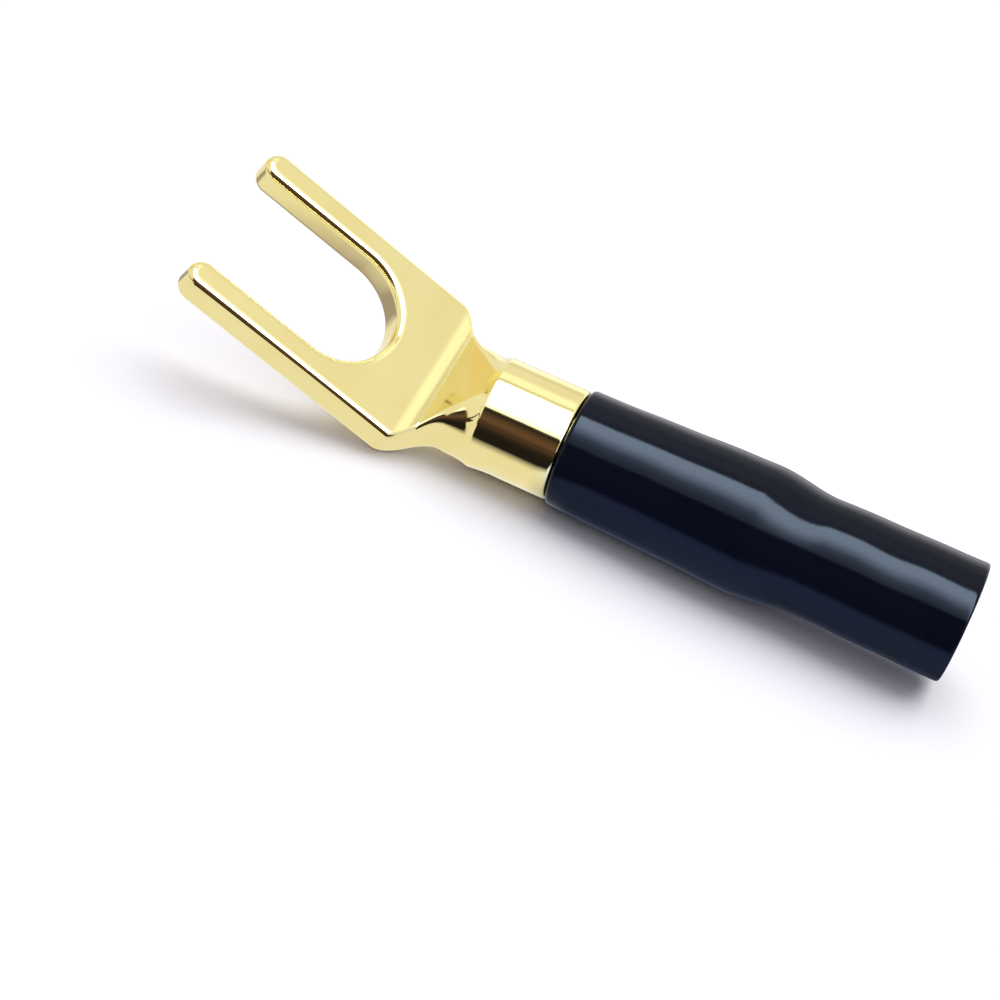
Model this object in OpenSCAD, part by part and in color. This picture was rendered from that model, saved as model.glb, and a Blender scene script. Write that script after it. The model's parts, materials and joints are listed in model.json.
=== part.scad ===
// Spade plug for a loudspeaker cable: a bent, gold-plated fork with a round collar and barrel,
// a soft sleeve that slides over the barrel, and two grub screws that clamp the wire.
// The plug lies at rest on its sleeve and on one shoulder of the fork.

/* [Fork] */
// Width of the slot between the prongs, which takes the shank of a terminal post
slot_w = 8.0; // [6:0.1:10]
// Width of each prong
prong_w = 2.0; // [1.6:0.1:3]
// Thickness of the fork
fork_t = 2.4; // [1.8:0.1:3]
// Length of the fork from its crease to the tips of the prongs
fork_len = 16.4; // [14:0.1:22]
// Length of the web from the crease to the bottom of the slot
web_len = 3.6; // [2.5:0.1:5]
// Radius of the rounded edges of the fork
edge_r = 0.55; // [0.3:0.05:0.7]

/* [Neck] */
// Angle of the fork to the barrel
bend_angle = 26; // [10:1:40]
// Radius inside the crease
bend_r = 3.0; // [1:0.1:4]
// Length of the neck from the collar to the crease
neck_len = 4.1; // [3.5:0.1:7]
// Width of the neck at its waist
waist_w = 6.8; // [5:0.1:7]
// Distance from the collar to where the shoulders of the fork begin to spread
waist_at = 2.0; // [1:0.1:2.4]
// Length of the fillet from the front rim of the collar down to the neck
rim_len = 1.2; // [0.6:0.1:1.8]
// Depth of that fillet at the upper flat of the neck
rim_drop = 0.3; // [0.1:0.05:0.8]

/* [Collar and barrel] */
// Diameter of the collar
collar_d = 7.4; // [7.1:0.1:8.2]
// Length of the collar
collar_len = 5.4; // [4.5:0.1:8]
// Distance from the back of the collar to the start of the ramp on its underside
ramp_at = 3.4; // [2:0.1:4.2]
// Small bevel on the back rim of the collar
collar_bevel = 0.25; // [0.05:0.05:0.3]
// Diameter of the barrel under the sleeve
barrel_d = 6.4; // [5.8:0.1:6.6]
// Length of the barrel under the sleeve
barrel_len = 13.0; // [12:0.1:16]
// Bevel on the back rim of the barrel, which leads it into the sleeve
barrel_bevel = 0.3; // [0.1:0.05:0.4]
// Diameter of the bore for the stripped wire
wire_d = 3.2; // [2.4:0.1:3.6]
// Depth of the bore for the wire
wire_depth = 12.0; // [10.5:0.1:15]
// Diameter of the wider mouth of the bore
mouth_d = 4.4; // [4:0.1:5]
// Depth of the wider mouth
mouth_depth = 3.0; // [1:0.1:3.2]

/* [Clamp screws] */
// Diameter of the grub screws
screw_d = 2.5; // [2:0.1:2.6]
// Length of the grub screws
screw_len = 2.4; // [2:0.1:2.8]
// Distance from the back of the barrel to the rear screw
screw_inset = 4.8; // [4.6:0.1:5.2]
// Distance between the two screws
screw_spacing = 5.0; // [3.5:0.1:5.2]
// Length of the tapered point that presses on the wire
point_len = 0.4; // [0.2:0.05:0.6]
// Width across the flats of the hexagon socket
socket_w = 1.3; // [0.9:0.1:1.5]
// Depth of the hexagon socket
socket_depth = 1.1; // [0.6:0.1:1.4]

/* [Sleeve] */
// Length of the sleeve
sleeve_len = 26.8; // [22:0.1:32]
// Wall of the sleeve at its front
front_wall = 0.65; // [0.5:0.05:1]
// Wall at the bulge
bulge_wall = 1.1; // [0.8:0.05:1.6]
// Distance from the front to the bulge
bulge_at = 12.6; // [10:0.1:14]
// Wall at the dip behind the bulge
dip_wall = 1.1; // [0.8:0.05:1.4]
// Distance from the front to the dip
dip_at = 16.8; // [15.5:0.1:19]
// Wall at the back of the sleeve
back_wall = 1.225; // [0.8:0.025:1.6]
// Diameter of the hole for the cable
cable_d = 5.6; // [4:0.1:6]
// Radius of the rounded lips at both ends
lip_r = 0.3; // [0.1:0.05:0.4]

/* [Clearances] */
// Gap all round between the barrel and the sleeve
sleeve_gap = 0.05; // [0.02:0.01:0.1]
// Gap between the collar and the front of the sleeve
seat_gap = 0.05; // [0.02:0.01:0.2]
// Gap all round between a screw and its hole
screw_gap = 0.05; // [0.02:0.01:0.1]
// Depth of the screws below the edge of their holes
screw_recess = 0.05; // [0.02:0.01:0.2]

/* [Hidden] */
$fn = 96;

// Steps of a rounded corner, of the ramp in the collar, of the neck, of the bend and of the wave
corner_steps = 10;
ramp_steps = 4;
neck_steps = 14;
bend_steps = 6;
wave_steps = 11;
// Distance by which one solid reaches into the next, or a cut runs past a face
overlap = 0.4;
// Largest share of a half width that a corner's round may take, so that a short flat is left
round_share = 0.98;
// Share of the bend after which the shoulder touches the ground
touch_share = 0.65;

collar_r = collar_d / 2;
half_t = fork_t / 2;
fork_w = slot_w + 2 * prong_w;
crease_x = -collar_len - neck_len;

// The bend: the run from the crease to where the round begins, and the middle of the sheet
bend_run = bend_r * tan(bend_angle / 2);
mid_r = bend_r + half_t;
bend_x = crease_x + bend_run;
bend_z = half_t + bend_r;
neck_run = neck_len - bend_run;
bend_arc = mid_r * bend_angle * PI / 180;
slot_centre = web_len + slot_w / 2;
web_run = slot_centre - bend_run;
fork_run = neck_run + bend_arc;
ramp_run = collar_len - ramp_at;

// Direction along the fork towards its tips, and the throat's centre
fork_dir = [-cos(bend_angle), 0, sin(bend_angle)];
bend_end = [bend_x - mid_r * sin(bend_angle), 0, bend_z - mid_r * cos(bend_angle)];
throat_centre = bend_end + web_run * fork_dir;
prong_len = fork_len - slot_centre - prong_w / 2;

// The sleeve's bore over the barrel, and its diameters from front to back
sleeve_bore_d = barrel_d + 2 * sleeve_gap;
front_d = sleeve_bore_d + 2 * front_wall;
bulge_d = sleeve_bore_d + 2 * bulge_wall;
dip_d = cable_d + 2 * dip_wall;
back_d = cable_d + 2 * back_wall;

// The screws' places in the barrel
rear_screw_at = barrel_len - screw_inset;
front_screw_at = rear_screw_at - screw_spacing;
screw_hole_d = screw_d + 2 * screw_gap;
screw_top = sqrt(pow(barrel_d / 2, 2) - pow(screw_hole_d / 2, 2)) - screw_recess;

// Rest: the sleeve's cone lies on the ground and sets the pitch, and the lower edge of one shoulder
// sets the roll
rest_pitch = atan((bulge_d - front_d) / 2 / bulge_at);
ground_r = front_d / 2 / cos(rest_pitch);
touch_run = neck_run + touch_share * bend_arc;
touch_y = half_width(touch_run) - edge_r;
touch_point = path_point(touch_run) - (half_t - edge_r) * path_up(touch_run);
touch_drop = ground_r - edge_r / cos(rest_pitch) + (touch_point[0] - seat_gap) * tan(rest_pitch);
rest_roll = asin(touch_drop / norm([touch_y, touch_point[2]])) + atan2(touch_point[2], touch_y);

function mix(a, b, k) = a + (b - a) * k;
function clamp01(k) = min(1, max(0, k));
function ease(k) = let (c = clamp01(k)) c * c * (3 - 2 * c);

// Runs are measured along the middle of the sheet from the collar's front rim towards the fork.
// Angle of the sheet, its middle and its upward direction at a run
function path_angle(run) = clamp01((run - neck_run) / bend_arc) * bend_angle;
function path_point(run) =
    run < neck_run ? [-collar_len - run, 0, 0]
    : let (turn = path_angle(run), past = max(0, run - fork_run))
      [bend_x - mid_r * sin(turn), 0, bend_z - mid_r * cos(turn)] + past * fork_dir;
function path_up(run) = let (turn = path_angle(run)) [sin(turn), 0, cos(turn)];

// What is left at a run of the fillet in front of the collar's rim, from 1 at the rim to 0
function rim_rest(run) = pow(1 - clamp01(run / rim_len), 2);
// Half width of the body at a run: the collar, its fillet, the waist and the shoulders of the fork
function half_width(run) =
    mix(waist_w / 2, fork_w / 2, ease((run - waist_at) / (fork_run - waist_at)))
    + (collar_r - waist_w / 2) * rim_rest(run);
// Share of the upper flat, from the collar's rim, and of the lower flat, from inside the collar
function upper_share(run) = clamp01(run / neck_run);
function lower_share(run) = clamp01((run + ramp_run) / (neck_run + ramp_run));
// Heights of the two flats over and under the middle
function upper_height(run) =
    mix(collar_r - rim_drop, half_t, upper_share(run)) + rim_drop * rim_rest(run);
function lower_height(run) = mix(collar_r, half_t, lower_share(run));
// Round of the edges, which goes from the collar's full round to the fork's sharper one
function edge_round(run, height, share) =
    min(round_share * half_width(run), mix(round_share * height, edge_r, ease(share)));

// Points of a quarter round, from one angle to the next
function quarter(centre, r, from) =
    [for (i = [0:corner_steps]) let (a = from + 90 * i / corner_steps) centre + r * [cos(a), sin(a)]];
// Outline of a bar with rounded corners, its half width and its heights above and below the middle
function bar_outline(half_w, above, below, r_above, r_below) = concat(
    quarter([half_w - r_above, above - r_above], r_above, 0),
    quarter([r_above - half_w, above - r_above], r_above, 90),
    quarter([r_below - half_w, r_below - below], r_below, 180),
    quarter([half_w - r_below, r_below - below], r_below, 270)
);
// The body's outline at a run, set square on the path
function body_ring(run) = let (
    middle = path_point(run),
    up = path_up(run),
    above = upper_height(run),
    below = lower_height(run)
) [for (p = bar_outline(half_width(run), above, below,
        edge_round(run, above, upper_share(run)), edge_round(run, below, lower_share(run))))
    middle + p[0] * [0, 1, 0] + p[1] * up];
// A smaller round inside the collar, where the neck is rooted
function root_ring() = let (r = collar_r - overlap, round_r = round_share * r)
    [for (p = bar_outline(r, r, r, round_r, round_r)) [overlap - ramp_at, p[0], p[1]]];

// A closed skin over a row of rings with the same number of points
module skin(rings) {
    count = len(rings[0]);
    last = len(rings) - 1;
    sides = [for (i = [0:last - 1], j = [0:count - 1]) let (k = (j + 1) % count)
        [i * count + j, i * count + k, (i + 1) * count + k, (i + 1) * count + j]];
    caps = [[for (j = [count - 1:-1:0]) j], [for (j = [0:count - 1]) last * count + j]];
    polyhedron([for (ring = rings) each ring], concat(sides, caps), convexity = 6);
}

// Carries a shape into the fork's plane: X along the prongs, Z out of the hollow face
module in_fork_plane() {
    translate(throat_centre) rotate([0, bend_angle, 0]) rotate([0, 0, 180]) children();
}

// Turns a revolved shape from Z to the barrel's axis, with its start at the given place
module along_barrel(start) {
    translate([start, 0, 0]) rotate([0, 90, 0]) children();
}

// The neck and web as one skin: round in the collar, flattened above and below, waisted,
// spread to the shoulders and bent
module neck_and_web() {
    ramp_runs = [for (i = [0:ramp_steps - 1]) ramp_run * (i / ramp_steps - 1)];
    neck_runs = [for (i = [0:neck_steps]) neck_run * i / neck_steps];
    bend_runs = [for (i = [1:bend_steps]) neck_run + bend_arc * i / bend_steps];
    runs = concat(ramp_runs, neck_runs, bend_runs, [fork_run + web_run]);
    skin(concat([root_ring()], [for (run = runs) body_ring(run)]));
}

// Cutter for the round bottom of the slot, with its rims flared to round the edges
module throat_cutter() {
    flare = half_t - edge_r;
    rim = slot_w / 2 + edge_r;
    rotate_extrude() polygon(concat(
        [[0, -half_t - overlap], [rim, -half_t - overlap]],
        [for (i = [0:corner_steps]) let (a = 270 - 90 * i / corner_steps)
            [rim + edge_r * cos(a), -flare + edge_r * sin(a)]],
        [for (i = [0:corner_steps]) let (a = 180 - 90 * i / corner_steps)
            [rim + edge_r * cos(a), flare + edge_r * sin(a)]],
        [[rim, half_t + overlap], [0, half_t + overlap]]
    ));
}

// One prong with its round tip, from the slot's centre line outwards
module prong() {
    outline = bar_outline(prong_w / 2, half_t, half_t, edge_r, edge_r);
    rotate([90, 0, 90]) linear_extrude(prong_len) polygon(outline);
    translate([prong_len, 0, 0]) rotate([0, 0, -90])
        rotate_extrude(angle = 180) intersection() {
            polygon(outline);
            translate([0, -half_t]) square([prong_w / 2, fork_t]);
        }
}

// The back of the collar and the barrel, turned on one axis
module collar_and_barrel() {
    along_barrel(-ramp_at) rotate_extrude() polygon([
        [0, 0],
        [collar_r, 0],
        [collar_r, ramp_at - collar_bevel],
        [collar_r - collar_bevel, ramp_at],
        [barrel_d / 2, ramp_at],
        [barrel_d / 2, ramp_at + barrel_len - barrel_bevel],
        [barrel_d / 2 - barrel_bevel, ramp_at + barrel_len],
        [0, ramp_at + barrel_len]
    ]);
}

// The gold-plated metal in one piece: fork, bent neck, collar and drilled barrel
module spade_body() {
    color("gold") at_rest() difference() {
        union() {
            difference() {
                neck_and_web();
                in_fork_plane() throat_cutter();
            }
            in_fork_plane() for (side = [-1, 1])
                translate([0, side * (slot_w + prong_w) / 2, 0]) prong();
            collar_and_barrel();
        }
        along_barrel(barrel_len - wire_depth) cylinder(d = wire_d, h = wire_depth + overlap);
        along_barrel(barrel_len - mouth_depth) cylinder(d = mouth_d, h = mouth_depth + overlap);
        for (at = [front_screw_at, rear_screw_at])
            translate([at, 0, 0]) cylinder(d = screw_hole_d, h = barrel_d);
    }
}

// A grub screw with a tapered point and a hexagon socket, flush in the barrel's wall
module clamp_screw(at) {
    color("goldenrod") at_rest() translate([at, 0, screw_top - screw_len]) difference() {
        union() {
            cylinder(d1 = screw_d - 2 * point_len, d2 = screw_d, h = point_len);
            translate([0, 0, point_len]) cylinder(d = screw_d, h = screw_len - point_len);
        }
        translate([0, 0, screw_len - socket_depth])
            cylinder(d = socket_w / cos(30), h = socket_depth + overlap, $fn = 6);
    }
}

// The soft sleeve: a cone up to the bulge, a wave down to the dip, and a straight end for the cable
module sleeve() {
    front = front_d / 2;
    back = back_d / 2;
    wave = [for (i = [1:wave_steps]) let (k = i / wave_steps)
        [mix(bulge_d, dip_d, ease(k)) / 2, mix(bulge_at, dip_at, k)]];
    front_lip = [for (i = [0:corner_steps]) let (a = 270 + 90 * i / corner_steps)
        [front - lip_r + lip_r * cos(a), lip_r + lip_r * sin(a)]];
    back_lip = [for (i = [0:corner_steps]) let (a = 90 * i / corner_steps)
        [back - lip_r + lip_r * cos(a), sleeve_len - lip_r + lip_r * sin(a)]];
    step_at = barrel_len + 2 * lip_r;
    taper = (sleeve_bore_d - cable_d) / 2;
    color([0.05, 0.05, 0.08]) at_rest() along_barrel(seat_gap) rotate_extrude() polygon(concat(
        [[sleeve_bore_d / 2, 0]],
        front_lip,
        [[bulge_d / 2, bulge_at]],
        wave,
        back_lip,
        [[cable_d / 2, sleeve_len], [cable_d / 2, step_at + taper], [sleeve_bore_d / 2, step_at]]
    ));
}

module front_clamp_screw() {
    clamp_screw(front_screw_at);
}

module rear_clamp_screw() {
    clamp_screw(rear_screw_at);
}

// Lays the plug down as it rests, with the centre of the fork's throat at the origin
module at_rest() {
    rotate([0, -rest_pitch, 0]) rotate([rest_roll, 0, 0]) translate(-throat_centre) children();
}

spade_body();
sleeve();
front_clamp_screw();
rear_clamp_screw();
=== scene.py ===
import json

import bmesh
import bpy
import numpy as np
from mathutils import Matrix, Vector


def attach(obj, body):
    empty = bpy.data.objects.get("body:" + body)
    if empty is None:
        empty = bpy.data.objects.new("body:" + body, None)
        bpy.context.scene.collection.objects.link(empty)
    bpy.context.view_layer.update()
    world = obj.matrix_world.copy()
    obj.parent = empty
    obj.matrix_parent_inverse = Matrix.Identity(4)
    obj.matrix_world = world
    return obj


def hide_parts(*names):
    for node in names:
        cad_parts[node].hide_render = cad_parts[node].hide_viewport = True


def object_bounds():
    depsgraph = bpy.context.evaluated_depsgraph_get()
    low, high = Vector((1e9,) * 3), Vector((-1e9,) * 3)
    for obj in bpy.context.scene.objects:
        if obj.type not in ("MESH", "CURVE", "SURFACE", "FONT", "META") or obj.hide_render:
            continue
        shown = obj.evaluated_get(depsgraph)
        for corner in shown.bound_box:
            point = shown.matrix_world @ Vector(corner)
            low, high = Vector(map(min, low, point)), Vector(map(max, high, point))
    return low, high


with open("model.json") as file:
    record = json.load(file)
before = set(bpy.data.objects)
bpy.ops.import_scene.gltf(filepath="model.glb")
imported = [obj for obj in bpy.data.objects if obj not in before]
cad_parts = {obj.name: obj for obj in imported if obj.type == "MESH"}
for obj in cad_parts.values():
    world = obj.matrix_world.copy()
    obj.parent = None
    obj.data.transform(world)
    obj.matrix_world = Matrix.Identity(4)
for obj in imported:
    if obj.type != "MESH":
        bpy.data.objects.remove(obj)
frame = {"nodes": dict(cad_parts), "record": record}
cad_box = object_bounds()


# The view and the studio: a long lens looks down on the hollow side of the fork, and the plug lies
# on a sheet of white paper. A softbox hangs over the front, the wall behind is white, and the room
# below the softbox is dark, which gives polished metal its bright and dark bands.
camera = bpy.data.objects.new("camera", bpy.data.cameras.new("camera"))
camera.data.sensor_width = 36.0
camera.data.lens = 81.8
camera.data.clip_start = 0.005
camera_right = np.array([0.88989, 0.29821, 0.34522])
camera_up = np.array([-0.43866, 0.35165, 0.82699])
camera_place = np.array([0.032552, -0.128184, 0.057025])
camera.matrix_world = Matrix([
    [*row, place] for row, place in zip(
        np.stack([camera_right, camera_up, np.cross(camera_right, camera_up)], axis=1), camera_place)
] + [[0, 0, 0, 1]])
bpy.context.scene.collection.objects.link(camera)
bpy.context.scene.camera = camera
bpy.context.scene.view_settings.view_transform = "Standard"


def grow_nodes(tree):
    """Empties a node tree and gives back a function that adds a node with its settings and inputs, where an
    input that is a socket is linked and any other is set."""
    tree.nodes.clear()

    def add(kind, inputs=None, **settings):
        node = tree.nodes.new(kind)
        for name, value in settings.items():
            setattr(node, name, value)
        for name, value in (inputs or {}).items():
            if isinstance(value, bpy.types.NodeSocket):
                tree.links.new(value, node.inputs[name])
            else:
                node.inputs[name].default_value = value
        return node

    return add


def reckon(add, operation, *values):
    """One step of arithmetic on sockets and numbers, in their order."""
    return add("ShaderNodeMath", dict(enumerate(values)), operation=operation).outputs[0]


def fade(add, value, low, high, start=0.0, end=1.0, **settings):
    """Goes from start to end while the value goes from low to high, and holds there outside."""
    return add("ShaderNodeMapRange", {"Value": value, "From Min": low, "From Max": high,
                                      "To Min": start, "To Max": end}, **settings).outputs[0]


def mix(add, share, first, second):
    """The first colour where the share is 0, the second where it is 1."""
    return add("ShaderNodeMix", {"Factor": share, "A": first, "B": second}, data_type="RGBA").outputs["Result"]


def ramp(add, value, stops):
    """The colour that these stops, each a place from 0 to 1 and a colour, give to a value."""
    node = add("ShaderNodeValToRGB", {"Fac": value})
    elements = node.color_ramp.elements
    while len(elements) < len(stops):
        elements.new(1.0)
    for element, (place, colour) in zip(elements, stops):
        element.position = place
        element.color = (*colour, 1.0)
    return node.outputs["Color"]


world = bpy.data.worlds.new("studio")
bpy.context.scene.world = world
world.use_nodes = True
add = grow_nodes(world.node_tree)
toward = add("ShaderNodeSeparateXYZ", {"Vector": add("ShaderNodeTexCoord").outputs["Generated"]}).outputs
front = reckon(add, "MULTIPLY", toward["Y"], -1.0)
over = reckon(add, "ARCTAN2", toward["Z"], front)

# From the front, over the top and down the back, as shares of half a turn. The softbox is the bright stretch,
# and it leans further down on the right.
half_turn = np.pi
softbox = (0.760, 0.880, 1.000)
lean = fade(add, toward["X"], -0.10, 0.44, end=0.38)
leaned = reckon(add, "ADD", over, lean)
bands = ramp(add, reckon(add, "DIVIDE", leaned, half_turn), [
    (0.172, (0.073, 0.081, 0.091)),
    (0.222, (0.093, 0.108, 0.128)),
    (0.278, (0.180, 0.213, 0.248)),
    (0.333, (0.490, 0.575, 0.670)),
    (0.389, softbox),
    (0.483, softbox),
    (0.492, (0.110, 0.118, 0.124)),
    (0.499, (0.037, 0.037, 0.034)),
    (0.529, (0.037, 0.037, 0.034)),
    (0.550, (0.058, 0.058, 0.058)),
    (0.615, (0.059, 0.059, 0.059)),
    (0.655, (0.045, 0.045, 0.045)),
    (0.700, (0.043, 0.043, 0.043)),
    (0.760, (0.044, 0.044, 0.044)),
    (0.810, (0.038, 0.038, 0.037)),
    (0.840, (0.038, 0.038, 0.037)),
    (0.890, (0.057, 0.057, 0.059)),
])

# The dark and faintly warm room under the softbox.
room_top = 0.48
room = ramp(add, reckon(add, "DIVIDE", over, room_top), [
    (0.00, (0.0043, 0.0026, 0.0022)),
    (0.25, (0.0066, 0.0037, 0.0029)),
    (0.60, (0.0040, 0.0025, 0.0018)),
    (0.85, (0.0012, 0.0009, 0.0009)),
])
above_room = fade(add, over, 0.48, 0.53)
front_view = mix(add, above_room, room, bands)

# Pale walls to both sides, a little warm at the back on the left.
side_wall = (0.044, 0.044, 0.044, 1.0)
warm_wall = (0.042, 0.035, 0.020, 1.0)
aside = reckon(add, "ABSOLUTE", reckon(add, "ADD", toward["X"], -0.12))
beside = fade(add, aside, 0.47, 0.60)
leftwards = fade(add, toward["X"], -0.73, -0.79)
backwards = fade(add, toward["Y"], 0.05, 0.15)
side_view = mix(add, reckon(add, "MULTIPLY", leftwards, backwards), side_wall, warm_wall)
mirrored = mix(add, beside, front_view, side_view)

# Mirrored rays see the studio, the camera sees white, and the rest is an even fill.
studio_strength, fill_strength = 22.0, 0.57
studio = add("ShaderNodeBackground", {"Color": mirrored, "Strength": studio_strength})
paper_white = add("ShaderNodeBackground", {"Color": (1.0, 1.0, 1.0, 1.0), "Strength": 1.0})
fill = add("ShaderNodeBackground", {"Color": (0.85, 0.83, 1.0, 1.0), "Strength": fill_strength})
rays = add("ShaderNodeLightPath").outputs
shiny = reckon(add, "GREATER_THAN", rays["Is Glossy Ray"], rays["Diffuse Depth"])
reflected = add("ShaderNodeMixShader", {0: shiny, 1: fill.outputs[0], 2: studio.outputs[0]})
seen = add("ShaderNodeMixShader", {0: rays["Is Camera Ray"], 1: reflected.outputs[0], 2: paper_white.outputs[0]})
add("ShaderNodeOutputWorld", {"Surface": seen.outputs[0]})

key = bpy.data.objects.new("key_light", bpy.data.lights.new("key_light", "SUN"))
key.data.energy = 2.1
key.data.angle = np.radians(72)
key.data.color = (1.0, 0.99, 0.96)
key.rotation_euler = (np.radians(-20), np.radians(9), 0.0)
key.visible_glossy = False
bpy.context.scene.collection.objects.link(key)

paper_z = cad_box[0][2]
paper_reach = 1.5
paper_mesh = bpy.data.meshes.new("paper")
paper_mesh.from_pydata([
    (-paper_reach, -paper_reach, paper_z), (paper_reach, -paper_reach, paper_z),
    (paper_reach, paper_reach, paper_z), (-paper_reach, paper_reach, paper_z)], [], [(0, 1, 2, 3)])
paper = bpy.data.objects.new("paper", paper_mesh)
bpy.context.scene.collection.objects.link(paper)


def new_finish(name):
    """A new material without nodes, and the function that adds nodes to it."""
    finish = bpy.data.materials.new(name)
    finish.use_nodes = True
    return finish, grow_nodes(finish.node_tree)


# Painted reflection and painted shade: for mirrored rays the paper glows with a painted pattern, painted dark in
# front of a line that runs along the plug, and behind it bright by the fork, with a painted shadow under the plug,
# and a cool painted reflection fading to painted shade by the sleeve.
paper_with_painted_reflection, add = new_finish("white_paper_painted_reflection")
place = add("ShaderNodeSeparateXYZ", {"Vector": add("ShaderNodeTexCoord").outputs["Object"]}).outputs
by_fork = fade(add, place["X"], 0.004, 0.0095, 0.018, 0.0051, interpolation_type="SMOOTHSTEP")
past_fork = fade(add, place["X"], -0.020, -0.010, 0.030, 0.0)
by_sleeve = fade(add, place["X"], 0.0155, 0.0185)
sleeve_shift = 0.0028
line = reckon(add, "MULTIPLY_ADD", by_sleeve, sleeve_shift, reckon(add, "ADD", by_fork, past_fork))
behind_line = fade(add, reckon(add, "ADD", place["Y"], line), -0.0012, 0.0012)
# Painted shadow: the mirrored paper is made darker and lavender just under the plug, where its shade falls.
painted_shadow_under = reckon(add, "MULTIPLY", fade(add, place["Y"], 0.0005, 0.0030), fade(add, place["Y"], 0.012, 0.008))
white_with_painted_shadow = mix(add, painted_shadow_under, (0.432, 0.432, 0.432, 1.0), (0.19, 0.173, 0.21, 1.0))
# Painted reflection and painted shadow by the sleeve: a cool blue band for the sleeve to mirror, painted dark
# close under the sleeve where its shade falls.
painted_sleeve_reflection = ramp(add, fade(add, place["Y"], -0.014, 0.014), [
    (0.250, (0.420, 0.540, 1.000)),
    (0.321, (0.420, 0.540, 0.960)),
    (0.393, (0.300, 0.370, 0.620)),
    (0.464, (0.100, 0.120, 0.190)),
    (0.536, (0.040, 0.050, 0.080)),
    (0.786, (0.040, 0.050, 0.080)),
    (0.964, (0.250, 0.250, 0.270)),
])
painted_behind_pattern = mix(add, by_sleeve, white_with_painted_shadow, painted_sleeve_reflection)
# Painted reflection: in front of the line the mirrored paper is painted near black, warmer far out, so the metal
# shows a dark band.
far_out = fade(add, place["Y"], -0.012, -0.040)
painted_dark_front = mix(add, far_out, (0.0073, 0.0066, 0.0082, 1.0), (0.032, 0.0195, 0.0164, 1.0))
# Painted reflection: mirrored rays see the paper as this glow; the camera and diffuse light see it matt white.
painted_reflection_glow = add("ShaderNodeEmission", {"Color": mix(add, behind_line, painted_dark_front, painted_behind_pattern), "Strength": 2.2})
matt = add("ShaderNodeBsdfDiffuse", {"Color": (0.97, 0.97, 0.97, 1.0)})
rays = add("ShaderNodeLightPath").outputs
shiny = reckon(add, "GREATER_THAN", rays["Is Glossy Ray"], rays["Diffuse Depth"])
both = add("ShaderNodeMixShader", {0: shiny, 1: matt.outputs[0], 2: painted_reflection_glow.outputs[0]})
add("ShaderNodeOutputMaterial", {"Surface": both.outputs[0]})
paper_mesh.materials.append(paper_with_painted_reflection)


# The spade body: one piece of brass, turned to a collar and a barrel at the back and pressed flat to
# a bent fork at the front, with its edges rounded over and the whole plated with polished gold.
slot_w, prong_w, fork_t, fork_len, web_len, edge_r = 8.0, 2.0, 2.4, 16.4, 3.6, 0.55
bend, bend_r, neck_len, waist_w, waist_at = np.radians(26.0), 3.0, 4.1, 6.8, 2.0
rim_len, rim_drop, rim_soft = 1.2, 0.3, 0.12
collar_d, collar_len, ramp_at, collar_bevel = 7.4, 5.4, 3.4, 0.25
barrel_d, barrel_len, barrel_bevel = 6.4, 13.0, 0.3
wire_d, wire_depth, mouth_d, mouth_depth = 3.2, 12.0, 4.4, 3.0
screw_hole_d, screw_inset, screw_spacing = 2.6, 4.8, 5.0

collar_r, half_t, fork_w = collar_d / 2, fork_t / 2, slot_w + 2 * prong_w
bend_run, mid_r = bend_r * np.tan(bend / 2), bend_r + half_t
bend_x, bend_z = bend_run - collar_len - neck_len, half_t + bend_r
neck_run, bend_arc = neck_len - bend_run, mid_r * bend
fork_run, ramp_run = neck_run + bend_arc, collar_len - ramp_at
slot_centre = web_len + slot_w / 2
web_run = slot_centre - bend_run
prong_len = fork_len - slot_centre - prong_w / 2
fork_dir = np.array([-np.cos(bend), 0.0, np.sin(bend)])
fork_up = np.array([np.sin(bend), 0.0, np.cos(bend)])
bend_end = np.array([bend_x - mid_r * np.sin(bend), 0.0, bend_z - mid_r * np.cos(bend)])
throat_centre = bend_end + web_run * fork_dir

mounts = {mount["name"]: np.array(mount["axis"]) for mount in frame["record"]["mounts"]}
along = mounts["wire_entry"] / np.linalg.norm(mounts["wire_entry"])
across = np.cross(mounts["fork_throat"], along)
across /= np.linalg.norm(across)
lying = np.stack([along, across, np.cross(along, across)])
metres = 0.001


def laid_down(points):
    """Points in millimetres on the plug's own axes, with X along the barrel, carried to where the plug lies:
    measured from the centre of the throat, turned by the three axes and scaled to metres."""
    return (points.reshape(-1, 3) - throat_centre) @ lying * metres


def ease(share):
    """The smooth step 3k^2 - 2k^3 of a share held between 0 and 1."""
    share = np.clip(share, 0.0, 1.0)
    return share * share * (3 - 2 * share)


def quads(rows, columns):
    """Corner numbers of the faces of a grid of that many rows and columns of points."""
    corner = (np.arange(rows - 1)[:, None] * columns + np.arange(columns - 1)[None, :]).reshape(-1)
    return np.stack([corner, corner + 1, corner + columns + 1, corner + columns], axis=1)


def welded(name, grids, sharp=40):
    """One closed mesh from several grids of points: the grids are put end to end, points that fall together are
    welded, faces turned outwards and shaded smooth, apart from edges that bend more than the sharp angle."""
    points = np.concatenate([laid_down(grid) for grid in grids])
    starts = np.cumsum([0] + [grid.shape[0] * grid.shape[1] for grid in grids])
    faces = np.concatenate([quads(*grid.shape[:2]) + start for grid, start in zip(grids, starts)])
    mesh = bpy.data.meshes.new(name)
    mesh.from_pydata(points.tolist(), [], faces.tolist())
    work = bmesh.new()
    work.from_mesh(mesh)
    bmesh.ops.remove_doubles(work, verts=work.verts, dist=1e-6)
    bmesh.ops.dissolve_degenerate(work, edges=work.edges, dist=1e-7)
    bmesh.ops.recalc_face_normals(work, faces=work.faces)
    work.to_mesh(mesh)
    work.free()
    mesh.polygons.foreach_set("use_smooth", np.ones(len(mesh.polygons), dtype=bool))
    mesh.set_sharp_from_angle(angle=np.radians(sharp))
    piece = bpy.data.objects.new(name, mesh)
    bpy.context.scene.collection.objects.link(piece)
    return piece


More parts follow.
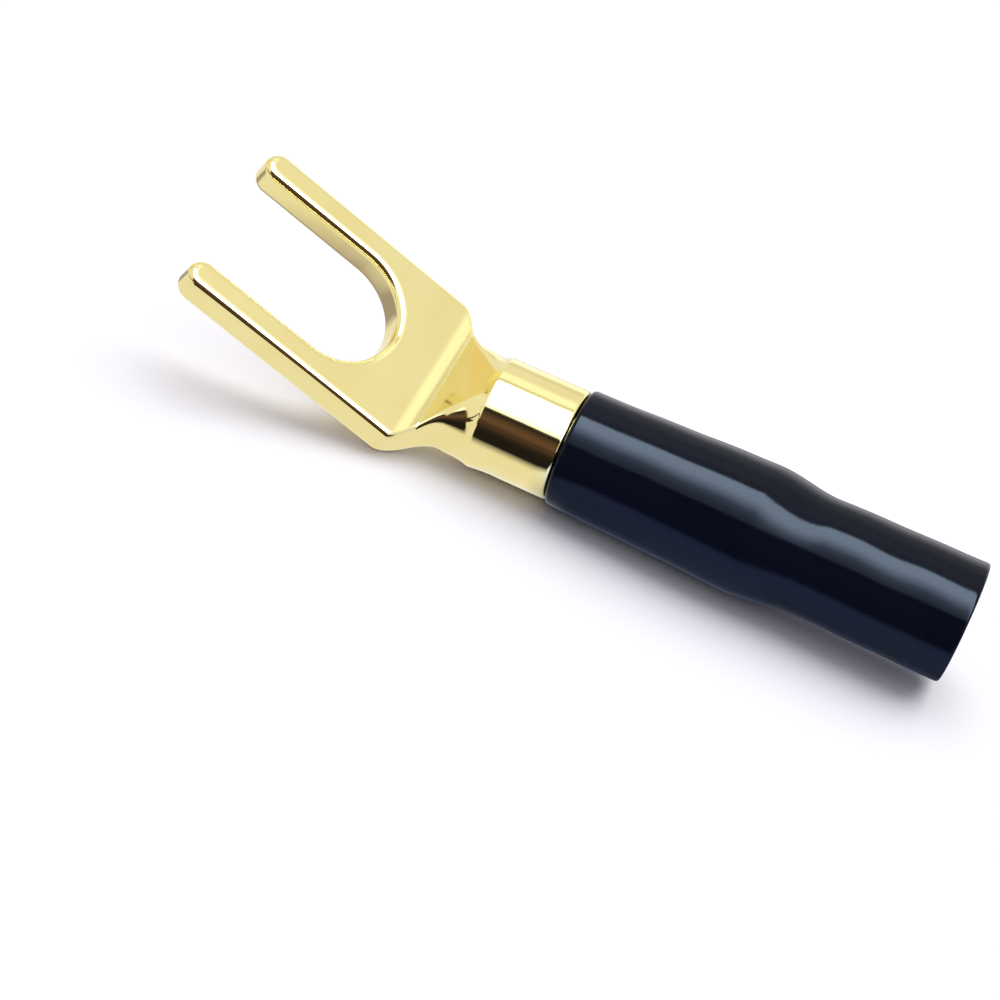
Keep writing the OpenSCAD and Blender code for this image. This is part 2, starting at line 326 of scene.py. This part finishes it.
flat_shares = np.concatenate([np.linspace(0.0, 0.94, 17), [0.97, 0.99, 1.0]])
wall_shares = np.array([0.03, 0.5, 0.97])
quarter = np.linspace(0.0, np.pi / 2, 33)


def half_outline(half_w, above, below, r_above, r_below):
    """Right half of a bar with rounded corners, from the top round to the bottom: a flat, a quarter round, a wall,
    a quarter round and a flat. The sizes are columns, one row for each section, and the result is (y, z)."""
    wall_top, wall_foot = above - r_above, r_below - below
    y = np.concatenate([
        (half_w - r_above) * flat_shares,
        half_w - r_above + r_above * np.sin(quarter[1:]),
        half_w + 0 * wall_shares,
        half_w - r_below + r_below * np.cos(quarter),
        (half_w - r_below) * flat_shares[-2::-1],
    ], axis=1)
    z = np.concatenate([
        above + 0 * flat_shares,
        wall_top + r_above * np.cos(quarter[1:]),
        wall_top + (wall_foot - wall_top) * wall_shares,
        wall_foot - r_below * np.sin(quarter),
        -below + 0 * flat_shares[-2::-1],
    ], axis=1)
    return y, z


def neck_half(runs, side):
    """One side of the collar, neck and web: bar outlines set square on a path that runs along the barrel's axis,
    turns through the bend and goes on along the fork. The collar is round; a fillet falls from its softened front
    rim as a parabola, an upper flat from the rim and a lower flat from further back fall straight to the fork's
    thickness while the corners sharpen, and the width goes from the waist to the shoulders by a smooth step."""
    runs = runs[:, None]
    upper = np.clip(runs / neck_run, 0, 1)
    lower = np.clip((runs + ramp_run) / (neck_run + ramp_run), 0, 1)
    fall = 2 / (rim_len + rim_soft)
    fillet = np.where(runs < rim_soft, 1 - fall * np.clip(runs + rim_soft, 0, None) ** 2 / (4 * rim_soft),
                      fall * np.clip(rim_len - runs, 0, None) ** 2 / (2 * (rim_len - rim_soft)))
    half_w = (waist_w + (fork_w - waist_w) * ease((runs - waist_at) / (fork_run - waist_at))) / 2
    half_w = half_w + (collar_r - waist_w / 2) * fillet
    above = collar_r - rim_drop + (half_t - collar_r + rim_drop) * upper + rim_drop * fillet
    below = collar_r + (half_t - collar_r) * lower
    bevel = collar_bevel - np.sqrt(
        collar_bevel ** 2 - np.clip(collar_bevel - (runs + collar_len), 0, None) ** 2)
    half_w, above, below = half_w - bevel, above - bevel, below - bevel
    r_above = np.minimum(half_w, above + (edge_r - above) * ease(upper))
    r_below = np.minimum(half_w, below + (edge_r - below) * ease(lower))
    y, z = half_outline(half_w, above, below, r_above, r_below)
    bent = np.clip((runs - neck_run) / bend_arc, 0, 1) * bend
    past = np.clip(runs - fork_run, 0, None)
    straight = np.minimum(runs, neck_run) + collar_len
    middle_x = -straight - mid_r * np.sin(bent) - past * np.cos(bend)
    middle_z = mid_r * (1 - np.cos(bent)) + past * np.sin(bend)
    return np.stack([middle_x + z * np.sin(bent), side * y, middle_z + z * np.cos(bent)], axis=-1)


def in_fork(along_fork, y, z):
    """Places in the fork's plane, from the throat's centre: along the prongs, across, and out of the hollow
    face, each times its direction and added up."""
    return (throat_centre + np.asarray(along_fork)[..., None] * fork_dir
            + np.asarray(y)[..., None] * np.array([0.0, 1.0, 0.0]) + np.asarray(z)[..., None] * fork_up)


web_gap = 0.4
web_line = -(slot_w / 2 + edge_r + web_gap)
side_steps = np.linspace(0.0, 1.0, 15)
prong_steps = np.linspace(0.0, 1.0, 12)
tip_turn = np.linspace(np.pi / 2, 0.0, 17)
corner_turn = np.arctan2(fork_w / 2 - edge_r, -web_line)


def fork_outline(inset):
    """Right half of the fork's outline, moved in by the inset along its normal, as (along, across): the outer edge
    from the web to the tip, round the tip, and back along the slot and round the throat to the middle."""
    tip_r = prong_w / 2 - inset
    throat_r = slot_w / 2 + inset
    outer_y, prong_y = fork_w / 2 - inset, (slot_w + prong_w) / 2
    throat_turn = np.concatenate([
        np.pi / 2 - (np.pi / 2 - corner_turn) * side_steps[:-1],
        corner_turn * flat_shares[::-1]])
    outer = np.concatenate([web_line * (1 - side_steps[:-1]), prong_len * prong_steps[:-1],
                            prong_len + tip_r * np.cos(tip_turn)])
    outer_across = np.concatenate([np.full(len(side_steps) + len(prong_steps) - 2, outer_y),
                                   prong_y + tip_r * np.sin(tip_turn)])
    inner = np.concatenate([prong_len + tip_r * np.cos(tip_turn[::-1]), prong_len * prong_steps[::-1][1:],
                            -throat_r * np.cos(throat_turn[1:])])
    inner_across = np.concatenate([prong_y - tip_r * np.sin(tip_turn[::-1]),
                                   np.full(len(prong_steps) - 1, throat_r), throat_r * np.sin(throat_turn[1:])])
    return (outer, outer_across), (inner, inner_across)


def fork_edge(side):
    """The rounded edge all along half the fork: a quarter round, a wall and a quarter round, carried along the
    outline, each point moved in by edge_r (1 - cos) along the outline's normal."""
    ends = np.ones(len(quarter))
    lift = np.concatenate([quarter[::-1], 0 * wall_shares, -quarter])
    wall = np.concatenate([ends, 1 - 2 * wall_shares, -ends]) * (half_t - edge_r)
    grids = []
    for inset, height in zip(edge_r * (1 - np.cos(lift)), wall + edge_r * np.sin(lift)):
        (outer, outer_across), (inner, inner_across) = fork_outline(inset)
        along_fork = np.concatenate([outer, inner[1:]])
        grids.append(in_fork(along_fork, side * np.concatenate([outer_across, inner_across[1:]]),
                             np.full(len(along_fork), height)))
    return np.stack(grids)


def fork_face(side, height):
    """Half of a flat face of the fork: straight lines from the inner to the outer edge of the flat, from the
    middle of the web round the throat and out to the tip."""
    (outer, outer_across), (inner, inner_across) = fork_outline(edge_r)
    web = fork_w / 2 - edge_r
    outer = np.concatenate([np.full(len(flat_shares) - 1, web_line), outer])
    outer_across = np.concatenate([web * flat_shares[:-1], outer_across])
    inner, inner_across = inner[::-1], inner_across[::-1]
    share = np.array([0.0, 0.04, 0.3, 0.7, 0.96, 1.0])[:, None]
    along_fork = inner + (outer - inner) * share
    return in_fork(along_fork, side * (inner_across + (outer_across - inner_across) * share),
                   np.full(along_fork.shape, height))


def turned(profile, angles):
    """A profile of (x, r) points turned about the barrel's axis, with the angle counted from the hollow side."""
    x, r = np.asarray(profile, dtype=float).T
    return np.stack([np.broadcast_to(x[:, None], (len(x), len(angles))),
                     r[:, None] * np.sin(angles), r[:, None] * np.cos(angles)], axis=-1)


# Rows along the piece: from the collar's back rim, where the lower flat starts, through the fillet, the neck and
# the bend, to the web.
collar_rows = [0.28, 0.7, 1.6, 2.6, 3.37, 3.4, 3.43, 3.8, 4.4, 5.0, 5.2]
collar_runs = -collar_len + np.concatenate([
    collar_bevel * (1 - np.cos(np.linspace(0.0, np.pi / 2, 9))), collar_rows])
neck_runs = np.concatenate([np.linspace(-rim_soft, rim_soft, 13), np.linspace(rim_soft, rim_len, 37)[1:],
                            np.linspace(rim_len, neck_run, 61)[1:]])
bend_runs = neck_run + bend_arc * np.linspace(0.0, 1.0, 41)[1:]
web_runs = fork_run + (web_run + web_line) * np.array([0.02, 0.5, 1.0])
runs = np.concatenate([collar_runs, neck_runs, bend_runs, web_runs])
collar_back = neck_half(runs[:1], 1)[0]
shell = []
for side in (1, -1):
    shell += [neck_half(runs, side), fork_edge(side), fork_face(side, half_t), fork_face(side, -half_t)]
    rim = collar_back * np.array([1.0, side, 1.0])
    shell.append(np.stack([rim, rim * np.array([1.0, 0.5, 0.5]), rim * np.array([1.0, 0.0, 0.0])]))

# The barrel is a turned skin with a square patch left out for each screw hole. It starts inside the collar.
barrel_r, hole_r = barrel_d / 2, screw_hole_d / 2
rear_hole = barrel_len - screw_inset
holes = [rear_hole - screw_spacing, rear_hole]
patch, patch_turn = 2.0, np.radians(48)
spread = np.tan(np.linspace(-np.pi / 4, np.pi / 4, 33))
top_angles = patch_turn * spread
low_angles = np.linspace(patch_turn, 2 * np.pi - patch_turn, 73)
all_angles = np.concatenate([top_angles, low_angles[1:]])
barrel_start, bevel_at = -0.3, barrel_len - barrel_bevel
cuts = [barrel_start, *(hole + patch * spread for hole in holes), bevel_at]
plain_x = np.concatenate([np.atleast_1d(cut) for cut in cuts])
barrel = [turned(np.stack([plain_x, np.full(len(plain_x), barrel_r)], axis=1), low_angles)]
for low, high in ((barrel_start, holes[0] - patch), (holes[0] + patch, holes[1] - patch),
                  (holes[1] + patch, bevel_at)):
    barrel.append(turned([(low, barrel_r), (high, barrel_r)], top_angles))

hole_steps, drill_past, rim_row = 128, 0.05, 0.05


def drilled(hole):
    """The barrel's skin round a screw hole, and the hole's wall. The skin goes from the rim, where the drill meets
    the barrel, to the edges of a square patch; the wall goes straight down from the rim to the wire's bore."""
    round_hole = np.radians(np.arange(hole_steps + 1) * 360 / hole_steps)
    share = np.concatenate([[0.0, 0.03], np.linspace(0.1, 1.0, 10)])[:, None]
    corner = np.arctan2(np.sin(round_hole), np.cos(round_hole))
    edge_x = patch * np.where(abs(np.cos(corner)) >= abs(np.sin(corner)) - 1e-9, np.sign(np.cos(corner)),
                              np.tan(np.pi / 2 - corner) * np.sign(np.sin(corner)))
    edge_turn = patch_turn * np.where(abs(np.sin(corner)) >= abs(np.cos(corner)) - 1e-9, np.sign(np.sin(corner)),
                                      np.tan(corner) * np.sign(np.cos(corner)))
    rim_turn = np.arcsin(hole_r * np.sin(round_hole) / barrel_r)
    x = hole + hole_r * np.cos(round_hole) * (1 - share) + edge_x * share
    turn = rim_turn * (1 - share) + edge_turn * share
    skin = np.stack([x, barrel_r * np.sin(turn), barrel_r * np.cos(turn)], axis=-1)
    rim = skin[0]
    foot = rim.copy()
    foot[:, 2] = np.sqrt((wire_d / 2) ** 2 - rim[:, 1] ** 2) - drill_past
    return [skin, np.stack([rim, rim + (foot - rim) * rim_row, foot])]


for hole in holes:
    barrel += drilled(hole)
bore_foot, drill_point = barrel_len - wire_depth, 0.5
barrel.append(turned([
    (bevel_at, barrel_r), (barrel_len, barrel_r - barrel_bevel), (barrel_len, mouth_d / 2),
    (barrel_len - mouth_depth, mouth_d / 2), (barrel_len - mouth_depth, wire_d / 2),
    (bore_foot, wire_d / 2), (bore_foot - drill_point, 0.0)], all_angles))
barrel.append(turned([(barrel_start, 0.0), (barrel_start, barrel_r)], all_angles))

gold, add = new_finish("polished_gold_plate")
spot = add("ShaderNodeTexCoord").outputs["Object"]
cloud = add("ShaderNodeTexNoise", {"Vector": spot, "Scale": 260.0, "Detail": 3.0})
plate = ramp(add, cloud.outputs["Fac"], [(0.3, (0.86, 0.735, 0.32)), (0.7, (0.90, 0.785, 0.37))])
haze = add("ShaderNodeTexNoise", {"Vector": spot, "Scale": 900.0, "Detail": 4.0})
polish = fade(add, haze.outputs["Fac"], 0.0, 1.0, 0.055, 0.095)
ripple = add("ShaderNodeTexNoise", {"Vector": spot, "Scale": 420.0, "Detail": 1.0})
swell = add("ShaderNodeBump", {"Height": ripple.outputs["Fac"], "Strength": 0.05, "Distance": 0.0002})
metal = add("ShaderNodeBsdfPrincipled", {
    "Base Color": plate, "Metallic": 1.0, "Roughness": polish, "Normal": swell.outputs["Normal"]})
add("ShaderNodeOutputMaterial", {"Surface": metal.outputs[0]})

body = welded("gold_spade_body", shell + barrel)
body.data.materials.append(gold)
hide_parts("spade_body")
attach(body, "plug")


# The clamp screws: two grub screws of plated brass in the barrel's wall, with hexagon sockets that show
# when the sleeve is drawn back. Their metal is duller than the body's.
dull_gold, add = new_finish("dull_gold_screw")
spot = add("ShaderNodeTexCoord").outputs["Object"]
grain = add("ShaderNodeTexNoise", {"Vector": spot, "Scale": 2500.0, "Detail": 4.0})
tone = ramp(add, grain.outputs["Fac"], [(0.3, (0.66, 0.50, 0.24)), (0.7, (0.78, 0.63, 0.33))])
rub = fade(add, grain.outputs["Fac"], 0.0, 1.0, 0.22, 0.38)
metal = add("ShaderNodeBsdfPrincipled", {"Base Color": tone, "Metallic": 1.0, "Roughness": rub})
add("ShaderNodeOutputMaterial", {"Surface": metal.outputs[0]})
for name in ("front_clamp_screw", "rear_clamp_screw"):
    screw = frame["nodes"][name]
    screw.data.materials.clear()
    screw.data.materials.append(dull_gold)


# The sleeve: a soft, glossy tube of blue-black plastic, moulded in one piece and pushed over the barrel
# up to the collar. It swells to a bulge where the barrel ends, dips behind it and takes the cable.
sleeve_len, seat_gap, sleeve_bore_d, cable_d = 26.8, 0.05, 6.5, 5.6
front_d, bulge_d, dip_d, back_d = 7.8, 8.7, 7.8, 8.05
bulge_at, dip_at, lip_r, end_r = 12.6, 16.8, 0.3, 0.2
bore_bevel, cable_bevel, seam_at = 0.05, 0.1, 4.0


def sleeve_radius(x):
    """Outside radius at a distance from the front: a straight cone up to the bulge, a smooth step down to the dip
    and a straight, slightly opening end."""
    cone = front_d / 2 + (bulge_d - front_d) / 2 * np.clip(x / bulge_at, 0, 1)
    step = bulge_d / 2 + (dip_d - bulge_d) / 2 * ease((x - bulge_at) / (dip_at - bulge_at))
    end = dip_d / 2 + (back_d - dip_d) / 2 * np.clip((x - dip_at) / (sleeve_len - end_r - dip_at), 0, 1)
    return np.where(x < bulge_at, cone, np.where(x < dip_at, step, end))


# The profile starts and ends in the bore: out over the front lip, along the outside, round the back lip and in
# through the cable's hole.
bore_r, cable_r = sleeve_bore_d / 2, cable_d / 2
lip = np.linspace(0.0, np.pi / 2, 9)
wall_x = np.linspace(lip_r, sleeve_len - end_r, 160)
step_at = barrel_len + 2 * lip_r
taper = (sleeve_bore_d - cable_d) / 2
sleeve_profile = np.concatenate([
    [(seam_at, bore_r), (bore_bevel, bore_r), (0.0, bore_r + bore_bevel)],
    np.stack([lip_r * (1 - np.sin(lip)), sleeve_radius(lip_r) - lip_r * (1 - np.cos(lip))], axis=1)[::-1],
    np.stack([wall_x, sleeve_radius(wall_x)], axis=1)[1:-1],
    np.stack([sleeve_len - end_r * (1 - np.sin(lip)), back_d / 2 - end_r * (1 - np.cos(lip))], axis=1),
    [(sleeve_len, cable_r + cable_bevel), (sleeve_len - cable_bevel, cable_r), (step_at + taper, cable_r),
     (step_at, bore_r), (seam_at, bore_r)],
])
round_sleeve = np.radians(np.arange(145) * 2.5)
sleeve_grid = turned(sleeve_profile + np.array([seat_gap, 0.0]), round_sleeve)

# Two faint waves, given in radians a millimetre, sink into the outside only, as soft moulded plastic has them.
wave_depth, long_wave, short_wave, skin_from, skin_ease = 0.012, 0.62, 1.35, 3.6, 0.2
outer_share = np.clip((np.hypot(sleeve_grid[..., 1], sleeve_grid[..., 2]) - skin_from) / skin_ease, 0, 1)
inward = wave_depth * outer_share * (
    np.sin(sleeve_grid[..., 0] * long_wave + 2.0 * np.cos(round_sleeve) + 0.7)
    + np.sin(sleeve_grid[..., 0] * short_wave + 1.5 * np.sin(round_sleeve)) - 2.0)
sleeve_grid[..., 1] += inward * np.sin(round_sleeve)
sleeve_grid[..., 2] += inward * np.cos(round_sleeve)

plastic, add = new_finish("blue_black_soft_plastic")
spot = add("ShaderNodeTexCoord").outputs["Object"]
cloud = add("ShaderNodeTexNoise", {"Vector": spot, "Scale": 180.0, "Detail": 3.0})
dye = ramp(add, cloud.outputs["Fac"], [(0.3, (0.0030, 0.0042, 0.0095)), (0.7, (0.0045, 0.0060, 0.0135))])
bloom = add("ShaderNodeTexNoise", {"Vector": spot, "Scale": 1400.0, "Detail": 5.0})
sheen = fade(add, bloom.outputs["Fac"], 0.0, 1.0, 0.09, 0.15)
pores = add("ShaderNodeBump", {"Height": bloom.outputs["Fac"], "Strength": 0.04, "Distance": 0.0001})
skin = add("ShaderNodeBsdfPrincipled", {
    "Base Color": dye, "Roughness": sheen, "IOR": 1.22, "Specular Tint": (0.82, 0.90, 1.0, 1.0),
    "Normal": pores.outputs["Normal"]})
add("ShaderNodeOutputMaterial", {"Surface": skin.outputs[0]})

sleeve = welded("soft_sleeve", [sleeve_grid])
sleeve.data.materials.append(plastic)
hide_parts("sleeve")
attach(sleeve, "sleeve")
